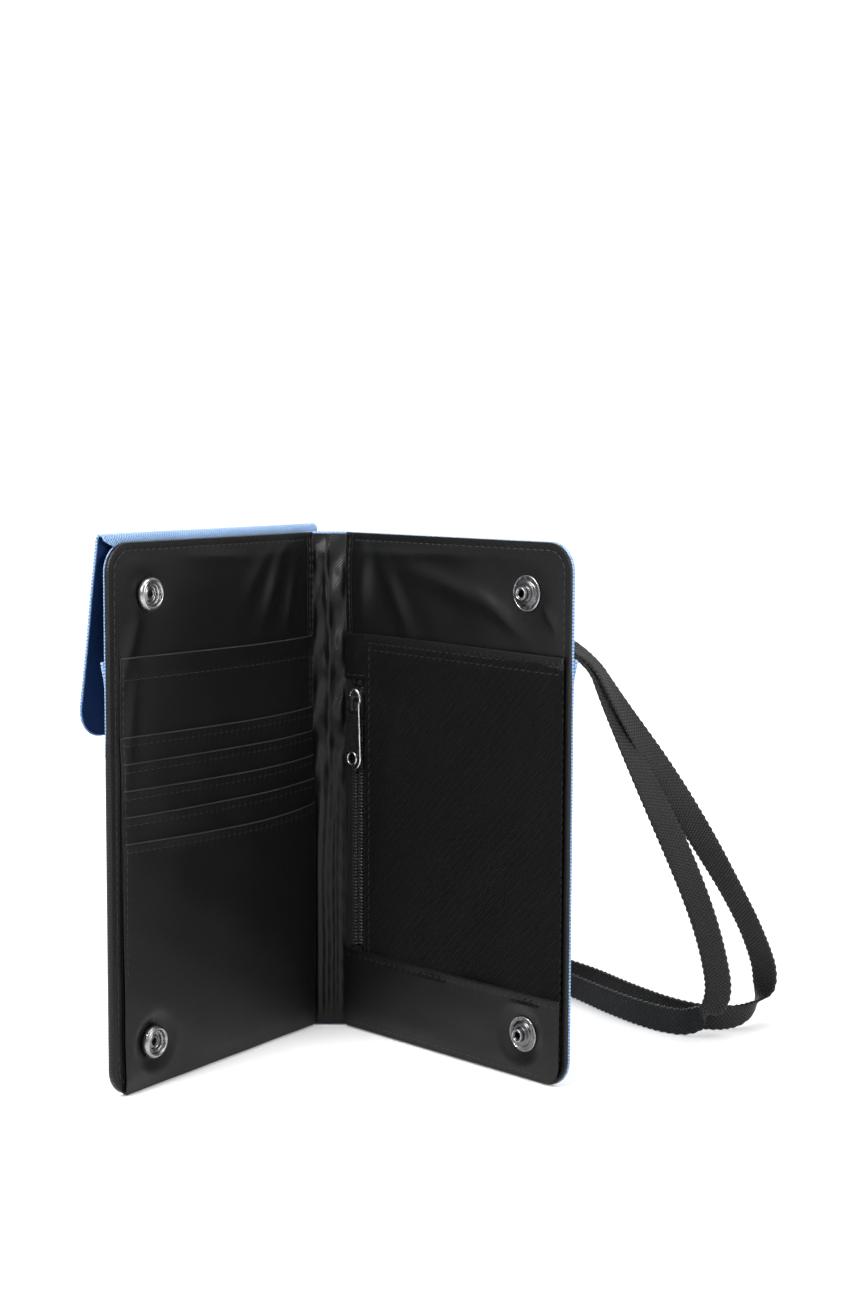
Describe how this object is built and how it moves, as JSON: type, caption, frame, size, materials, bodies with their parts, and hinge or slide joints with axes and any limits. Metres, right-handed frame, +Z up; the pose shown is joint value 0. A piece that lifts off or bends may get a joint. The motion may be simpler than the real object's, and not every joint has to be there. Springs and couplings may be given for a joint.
{
  "type": "passport holder",
  "caption": "Folding cloth passport holder with pockets and card slots inside, a zip pocket, press studs, a flap over an outer pocket and a neck strap.",
  "frame": {"origin": "foot of the fold between the back cover and the spine, on the lining surface, at floor level", "axes": "+X across the back cover away from the spine, +Y out of the back cover's outer side, +Z up along the fold"},
  "size_m": [0.2564, 0.2436, 0.1912],
  "materials": {
    "canvas": "light blue plain-weave canvas",
    "lining": "black satin-faced lining cloth",
    "twill": "coarse black twill",
    "board": "stiffening board",
    "zip_tape": "woven zip tape",
    "zip_coil": "nylon coil",
    "nickel": "dark antique nickel plate",
    "hook_and_loop": "hook and loop tape",
    "webbing": "flat woven webbing"
  },
  "bodies": {
    "back_cover": {"back_cover_canvas": "canvas", "back_cover_board": "board", "back_cover_lining": "lining", "back_pocket": "canvas", "back_pocket_hem": "canvas", "zip_pocket_panel": "twill", "zip_pocket_binding": "lining", "zip_pocket_foot_strip": "lining", "zip_garage": "lining", "zip_tape_spine_side": "zip_tape", "zip_tape_panel_side": "zip_tape", "zip_coil_spine_side": "zip_coil", "zip_coil_panel_side": "zip_coil", "zip_bottom_stop": "nickel", "zip_top_stop_spine_side": "nickel", "zip_top_stop_panel_side": "nickel", "snap_stud_upper": "nickel", "snap_stud_lower": "nickel", "stud_rivet_upper": "nickel", "stud_rivet_lower": "nickel", "strap_anchor": "webbing", "strap_front_run": "webbing", "strap_rear_run": "webbing", "strap_hank": "webbing", "strap_tie": "webbing"},
    "spine": {"spine_canvas": "canvas", "spine_lining": "lining"},
    "front_cover": {"front_cover_canvas": "canvas", "front_cover_board": "board", "front_cover_lining": "lining", "passport_pocket": "lining", "card_slot_1": "lining", "card_slot_2": "lining", "card_slot_3": "lining", "card_slot_4": "lining", "card_slot_5": "lining", "snap_socket_upper": "nickel", "snap_socket_lower": "nickel", "socket_rivet_upper": "nickel", "socket_rivet_lower": "nickel", "front_pocket": "canvas", "front_pocket_hem": "canvas", "front_pocket_loop_patch": "hook_and_loop", "flap_mount_strip": "canvas"},
    "flap": {"flap_canvas": "canvas", "flap_facing": "lining", "flap_hook_patch": "hook_and_loop"},
    "zip_slider": {"zip_slider": "nickel"},
    "zip_pull": {"zip_pull": "nickel"}
  },
  "joints": [
    {"name": "spine_fold", "type": "hinge", "parent": "back_cover", "child": "spine", "pos_m": [0, 0, 0], "axis": [0, 0, -1], "range_deg": [-46.9, 45.5]},
    {"name": "cover_fold", "type": "hinge", "parent": "spine", "child": "front_cover", "pos_m": [-0.00925, -0.00941, 0], "axis": [0, 0, -1], "range_deg": [-36.1, 56.3]},
    {"name": "flap_lift", "type": "hinge", "parent": "front_cover", "child": "flap", "pos_m": [-0.0117, -0.00993, 0.1912], "axis": [-0.2045, 0.9789, 0], "range_deg": [0, 170]},
    {"name": "zip_slide", "type": "slide", "parent": "back_cover", "child": "zip_slider", "axis": [0, 0, -1], "range_m": [0, 0.0875]},
    {"name": "pull_swing", "type": "hinge", "parent": "zip_slider", "child": "zip_pull", "pos_m": [0.008, -0.00422, 0.12615], "axis": [-1, 0, 0], "range_deg": [0, 175]}
  ]
}
